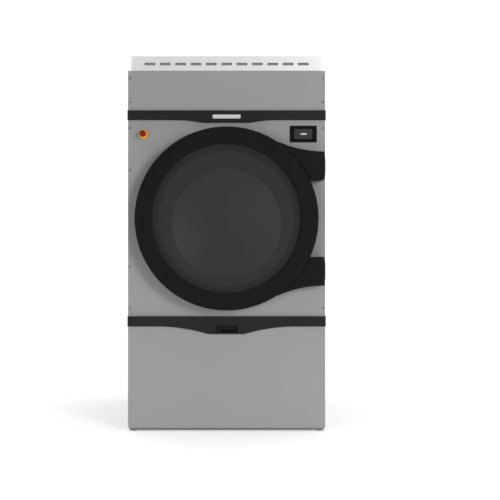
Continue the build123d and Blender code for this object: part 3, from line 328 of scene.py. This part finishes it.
def smoked_glass():
    """Dark tinted pane with a denser printed border under the ring."""
    look = Look("smoked_door_glass").set(IOR=1.5, Metallic=0.0, Specular_IOR_Level=0.25)
    away, _ = look.from_door_axis()
    border = look.spread(away, 0.0, 1.0, PRINT_R - PRINT_EDGE, PRINT_R + PRINT_EDGE)
    pane = look.patches(look.noise(3, 3), grey(61), grey(65))
    look.base(look.mixed(border, pane, grey(44)))
    look.alpha(look.spread(border, PANE_ALPHA, PRINT_ALPHA, 0.0, 1.0))
    look.roughness(look.spread(look.noise(12, 4), 0.04, 0.08))
    look.bump(look.noise(4, 2), 0.05, 0.00005)
    return look.material


def rubber():
    look = Look("black_rubber").set(Metallic=0.0, Specular_IOR_Level=0.25, Sheen_Weight=0.15)
    look.base(look.patches(look.noise(60, 4), grey(20), grey(33)))
    look.roughness(look.spread(look.noise(140, 4), 0.72, 0.86))
    look.bump(look.noise(800, 4), 0.35, 0.0001)
    return look.material


def galvanised(name, low, high):
    """Zinc sheet: fine flattened spangle, faint rolling lines, and dust on the intake's lid."""
    look = Look(name).set(Metallic=0.6, Specular_IOR_Level=0.5)
    spangle = look.nodes.new("ShaderNodeSeparateColor")
    look.link(look.cells(320)["Color"], spangle.inputs["Color"])
    rolling = look.noise(1.0, 4, 0.5, look.stretched((3.0, 3.0, 500.0)))
    grain = look.maths("ADD", spangle.outputs[0], rolling)
    tone = look.maths("MULTIPLY", grain, 0.5)
    _, _, z = look.separate()
    dusty = look.spread(z, 0.0, 1.0, TOP_Z - DUST_START, TOP_Z - DUST_FULL)
    dust = look.patches(look.noise(9, 6), grey(148), grey(168))
    look.base(look.mixed(dusty, look.ramp(tone, (0.15, grey(low)), (0.85, grey(high))), dust))
    look.roughness(look.spread(spangle.outputs[1], 0.44, 0.52, 0.0, 1.0))
    look.bump(look.noise(220, 4), 0.08, 0.00008)
    return look.material


def bright_zinc():
    return galvanised("galvanised_sheet", 236, 245)


def weathered_zinc():
    return galvanised("weathered_galvanised_sheet", 150, 166)


def plinth_paint():
    """Matt paint of the base frame, a little uneven where it was sprayed; its darker grey is painted
    shade under the panels.
    """
    look = Look("plinth_paint").set(Metallic=0.0, Specular_IOR_Level=0.3)
    # painted shade: the grey is darker than the panels' to stand for the shade under their lower edge
    look.base(look.patches(look.noise(5, 4), grey(103), grey(111)))
    look.roughness(look.spread(look.noise(260, 3), 0.60, 0.72))
    look.bump(look.noise(480, 3), 0.3, 0.00015)
    return look.material


def black_oxide():
    look = Look("black_oxide_steel").set(Metallic=0.6, Specular_IOR_Level=0.4)
    look.base(look.patches(look.noise(300, 4), grey(92), grey(110)))
    look.roughness(look.spread(look.noise(420, 4), 0.40, 0.58))
    look.bump(look.noise(900, 3), 0.2, 0.00004)
    return look.material


def stainless():
    """Brushed stainless steel, with its grain along X."""
    look = Look("brushed_stainless").set(Metallic=1.0, Anisotropic=0.35)
    grain = look.noise(1.0, 6, 0.6, look.stretched((2.0, 400.0, 400.0)))
    look.base(look.ramp(grain, (0.3, grey(182)), (0.7, grey(196))))
    look.roughness(look.spread(grain, 0.24, 0.38))
    look.bump(grain, 0.12, 0.00005)
    return look.material


def drum_sheet(name, flat):
    """Perforated stainless sheet, rolled round the drum or flat across its back, where a bright middle
    disc and a darker plain ring round it are painted light and shade.
    """
    look = Look(name).set(Metallic=0.1, Specular_IOR_Level=0.25)
    away, turn = look.from_door_axis()
    x, y, z = look.separate()
    worn = look.noise(14, 5)
    if flat:
        # painted light and shade: the bright middle disc and the darker plain ring round it; the holes
        # are the sheet's own
        middle = look.spread(away, 1.0, 0.0, DRUM_LIT_DISC_R - DRUM_LIT_DISC_EDGE, DRUM_LIT_DISC_R + DRUM_LIT_DISC_EDGE)
        holes = look.maths("MULTIPLY", look.holes(x, z, DRUM_PITCH, DRUM_HOLE), middle)
        plain = look.patches(worn, grey(76), grey(86))
        bright = look.patches(worn, grey(242), grey(250))
        sheet = look.mixed(middle, plain, bright)
        open_holes = grey(214)
    else:
        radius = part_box("drum_shell")[1].x
        half_turn = DRUM_PITCH * round(math.pi * radius / DRUM_PITCH)  # no cut hole at the seam
        holes = look.holes(look.maths("MULTIPLY", turn, half_turn), y, DRUM_PITCH, DRUM_HOLE)
        sheet = look.patches(worn, grey(150), grey(168))
        open_holes = grey(128)
    look.base(look.mixed(holes, sheet, open_holes))
    look.roughness(look.spread(look.noise(60, 4), 0.40, 0.52))
    look.bump(look.maths("SUBTRACT", 1.0, holes), 0.04, 0.0002)
    return look.material


def lint_mesh():
    """Woven steel mesh in its frame, with grey lint caught in places."""
    look = Look("lint_screen_mesh").set(Metallic=0.5, Specular_IOR_Level=0.4)
    x, y, z = look.separate()
    in_frame = look.spread(z, 0.0, 1.0, MESH_TOP, MESH_TOP + MESH_EDGE)
    weave = look.holes(x, y, MESH_PITCH, MESH_HOLE)
    wire = look.mixed(weave, grey(150), grey(66))
    clumps = look.spread(look.noise(7, 6, 0.7), 0.0, 0.8, 0.45, 0.7)
    fluff = look.spread(look.noise(300, 4), 0.5, 1.0)
    linty = look.mixed(look.maths("MULTIPLY", clumps, fluff), wire, grey(158))
    look.base(look.mixed(in_frame, linty, grey(182)))
    look.roughness(look.spread(look.noise(120, 4), 0.36, 0.55))
    look.bump(look.maths("SUBTRACT", 1.0, weave), 0.15, 0.0004)
    return look.material


def bright_steel():
    look = Look("bright_zinc_steel").set(Metallic=1.0)
    look.base(look.ramp(look.noise(90, 5), (0.3, grey(158)), (0.7, grey(184))))
    look.roughness(look.spread(look.noise(160, 5), 0.22, 0.40))
    look.bump(look.noise(500, 3), 0.12, 0.00005)
    return look.material


def cast_iron():
    look = Look("painted_cast_iron").set(Metallic=0.3, Specular_IOR_Level=0.4)
    look.base(look.ramp(look.noise(70, 6), (0.3, grey(58)), (0.7, grey(78))))
    look.roughness(look.spread(look.noise(90, 5), 0.50, 0.72))
    look.bump(look.noise(260, 5, 0.65), 0.5, 0.0004)
    return look.material


def motor_paint():
    look = Look("motor_blue_grey_paint").set(Metallic=0.1, Specular_IOR_Level=0.45)
    look.base(look.ramp(look.noise(50, 4), (0.3, srgb(78, 88, 98)), (0.7, srgb(90, 101, 112))))
    look.roughness(look.spread(look.noise(110, 4), 0.38, 0.52))
    look.bump(look.cells(420)["Distance"], 0.25, 0.0002)
    return look.material


SLOT_MATERIALS = {
    "grey_paint": powder_coat(),
    "zinc_sheet": bright_zinc(),
    "black_trim": black_plastic(),
    "badge": badge_white(),
    "display_plastic": gloss_black(),
    "display_glass": display_glass(),
    "stop_red": stop_button_red(),
    "stop_yellow": stop_button_yellow(),
    "stop_body": black_nylon(),
    "smoked_glass": smoked_glass(),
    "rubber": rubber(),
    "stainless": stainless(),
    "bare_steel": bright_steel(),
    "cast_iron": cast_iron(),
    "motor_grey": motor_paint(),
    "plinth_paint": plinth_paint(),
    "dark_metal": black_oxide(),
}


def give(obj, material):
    obj.data.materials.clear()
    obj.data.materials.append(material)


def dress_frame():
    """Gives each node its slot's material, or its own where it differs from the slot's."""
    for part in frame["record"]["subparts"]:
        give(NODES[part["node"]], SLOT_MATERIALS[part["material_slot"]])
    own = (
        (ring_plastic(), ("door_ring", "hinge_covers", "latch_bezel", "latch_paddle")),
        (weathered_zinc(), ("rear_panel_upper", "rear_panel_lower", "top_panel")),
        (SLOT_MATERIALS["display_plastic"], ("lock_plug",)),
        (lint_mesh(), ("lint_screen",)),
        (drum_sheet("perforated_drum_shell", flat=False), ("drum_shell",)),
        (drum_sheet("perforated_drum_back", flat=True), ("drum_back",)),
    )
    for material, nodes in own:
        for node in nodes:
            give(NODES[node], material)


dress_frame()


# ---- Detail pieces -----------------------------------------------------------------------------------
# Felt behind the intake's slots
FELT_GAP = 4 * MM  # from the box's front or rear face
FELT_END = 8 * MM  # from its ends and its lid
FELT_LIFT = 22 * MM  # from its underside
PLEAT_PITCH, PLEAT_DEPTH = 9 * MM, 5 * MM

# Bar on the display
MARK_HALF_X, MARK_HALF_Z = 15.5 * MM, 3.8 * MM
MARK_SHIFT = 2 * MM  # to the right of the display's middle
MARK_PROUD, MARK_THICKNESS = 0.15 * MM, 0.2 * MM
MARK_STEPS = 8  # edges in each of its round ends


def shape(name, work, material):
    """A new object in the scene, made from a bmesh."""
    mesh = bpy.data.meshes.new(name)
    work.to_mesh(mesh)
    work.free()
    made = bpy.data.objects.new(name, mesh)
    bpy.context.scene.collection.objects.link(made)
    give(made, material)
    return made


def new_piece(name, work, material):
    """A shape that rides on the cabinet."""
    piece = shape(name, work, material)
    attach(piece, "cabinet")


def pleated_sheet(work, low, high, y, depth):
    """A zigzag sheet across X at y, between the X and Z of two corners."""
    width = high.x - low.x
    count = round(width / PLEAT_PITCH) * 2
    columns = []
    for i in range(count + 1):
        x = low.x + width * i / count
        fold = y + (depth if i % 2 else 0.0)
        columns.append((work.verts.new((x, fold, low.z)), work.verts.new((x, fold, high.z))))
    for (low_a, high_a), (low_b, high_b) in zip(columns, columns[1:]):
        work.faces.new((low_a, low_b, high_b, high_a))


def filter_felt():
    look = Look("filter_felt").set(Metallic=0.0, Specular_IOR_Level=0.1, Sheen_Weight=0.2)
    look.base(look.patches(look.noise(240, 6), grey(142), grey(164)))
    look.roughness(look.spread(look.noise(90, 3), 0.82, 0.95))
    look.bump(look.noise(700, 6, 0.7), 0.6, 0.0004)
    return look.material


def intake_filter():
    """Pleated felt right behind the intake's front and rear slots."""
    low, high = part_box("intake_box")
    felt_low = low + Vector((FELT_END, 0, FELT_LIFT))
    felt_high = high - Vector((FELT_END, 0, FELT_END))
    work = bmesh.new()
    pleated_sheet(work, felt_low, felt_high, low.y + FELT_GAP, PLEAT_DEPTH)
    pleated_sheet(work, felt_low, felt_high, high.y - FELT_GAP, -PLEAT_DEPTH)
    new_piece("intake_filter", work, filter_felt())


def soft_white():
    look = Look("screen_mark").set(Metallic=0.0, Specular_IOR_Level=0.3)
    look.base(look.patches(look.noise(400), grey(196), grey(206)))
    look.roughness(look.spread(look.noise(300, 3), 0.3, 0.4))
    return look.material


def display_mark():
    """Plain rounded bar shown on the screen."""
    low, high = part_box("display_screen")
    centre = (low + high) / 2
    work = bmesh.new()
    outline = []
    for side in (1, -1):
        for i in range(MARK_STEPS + 1):
            turn = math.pi * (i / MARK_STEPS - 0.5)
            reach = MARK_HALF_X - MARK_HALF_Z + MARK_HALF_Z * math.cos(turn)
            x = centre.x + MARK_SHIFT + side * reach
            z = centre.z + side * MARK_HALF_Z * math.sin(turn)
            outline.append((x, low.y - MARK_PROUD, z))
    face = work.faces.new([work.verts.new(point) for point in outline])
    grown = bmesh.ops.extrude_face_region(work, geom=[face])["geom"]
    back = [part for part in grown if isinstance(part, bmesh.types.BMVert)]
    bmesh.ops.translate(work, vec=(0, MARK_THICKNESS, 0), verts=back)
    bmesh.ops.recalc_face_normals(work, faces=work.faces)
    new_piece("display_mark", work, soft_white())


intake_filter()
display_mark()


# ---- Stage -------------------------------------------------------------------------------------------
FLOOR_GLOW = 0.36
FLOOR_FADE, FLOOR_END = 2.2, 6.0  # from the machine's middle
BACKDROP, AMBIENT, MIRRORED = 1.2, 0.22, 0.05  # levels of the world's light

# name, place, target, width, height, watts
LIGHTS = (
    ("key", (4.9, PANEL_Y - 7.0, 2.7), (0, PANEL_Y, 0.95), 2.8, 3.0, 412),
    ("fill", (-4.2, PANEL_Y - 7.2, 1.0), (0, PANEL_Y, 1.05), 3.2, 2.4, 160),
    ("overhead", (0, 0.9, 5.2), (0, 0.2, 0), 9.0, 7.0, 340),
)

CAMERA_DISTANCE = 4.5  # from the front panels
CAMERA_Z = 0.899
LENS_MM = 65.2
SENSOR_MM = 36.0
SHIFT_X = 0.0468


def floor():
    """Pale floor that fades into the white backdrop some metres away from the machine."""
    look = Look("studio_floor").set(Specular_IOR_Level=0.15, Roughness=0.7)
    look.set(Emission_Color=(1, 1, 1, 1), Emission_Strength=FLOOR_GLOW)
    look.base(look.patches(look.noise(3, 3), (0.80, 0.80, 0.80), (0.82, 0.82, 0.82)))
    x, y, _ = look.separate()
    look.alpha(look.spread(look.length(x, y), 1.0, 0.0, FLOOR_FADE, FLOOR_END))
    work = bmesh.new()
    bmesh.ops.create_grid(work, x_segments=1, y_segments=1, size=FLOOR_END)
    shape("floor", work, look.material)


def soft_light(name, place, target, width, height, power):
    light = bpy.data.lights.new(name, "AREA")
    light.shape = "RECTANGLE"
    light.size = width
    light.size_y = height
    light.energy = power
    lamp = bpy.data.objects.new(name, light)
    bpy.context.scene.collection.objects.link(lamp)
    lamp.location = place
    direction = Vector(target) - Vector(place)
    lamp.rotation_euler = direction.to_track_quat("-Z", "Y").to_euler()


def world_light():
    """White backdrop; what lights the machine and what it mirrors are dimmer."""
    world = bpy.data.worlds.new("studio")
    world.use_nodes = True
    tree = world.node_tree
    tree.nodes.clear()
    path = tree.nodes.new("ShaderNodeLightPath")
    output = tree.nodes.new("ShaderNodeOutputWorld")

    def white(level):
        node = tree.nodes.new("ShaderNodeBackground")
        node.inputs["Color"].default_value = (1, 1, 1, 1)
        node.inputs["Strength"].default_value = level
        return node.outputs["Background"]

    light = white(AMBIENT)
    for ray, level in (("Is Glossy Ray", MIRRORED), ("Is Camera Ray", BACKDROP)):
        mix = tree.nodes.new("ShaderNodeMixShader")
        for source, target in zip((path.outputs[ray], light, white(level)), mix.inputs):
            tree.links.new(source, target)
        light = mix.outputs["Shader"]
    tree.links.new(light, output.inputs["Surface"])
    bpy.context.scene.world = world


def camera():
    lens = bpy.data.cameras.new("camera")
    lens.lens = LENS_MM
    lens.sensor_width = SENSOR_MM
    lens.shift_x = SHIFT_X
    lens.dof.use_dof = False
    eye = bpy.data.objects.new("camera", lens)
    eye.location = (0.0, PANEL_Y - CAMERA_DISTANCE, CAMERA_Z)
    eye.rotation_euler = (math.radians(90), 0, 0)
    bpy.context.scene.collection.objects.link(eye)
    bpy.context.scene.camera = eye


floor()
world_light()
for row in LIGHTS:
    soft_light(*row)
camera()
bpy.context.scene.view_settings.view_transform = "Standard"


def plain(bounds):
    return [[float(v) for v in corner] for corner in bounds]
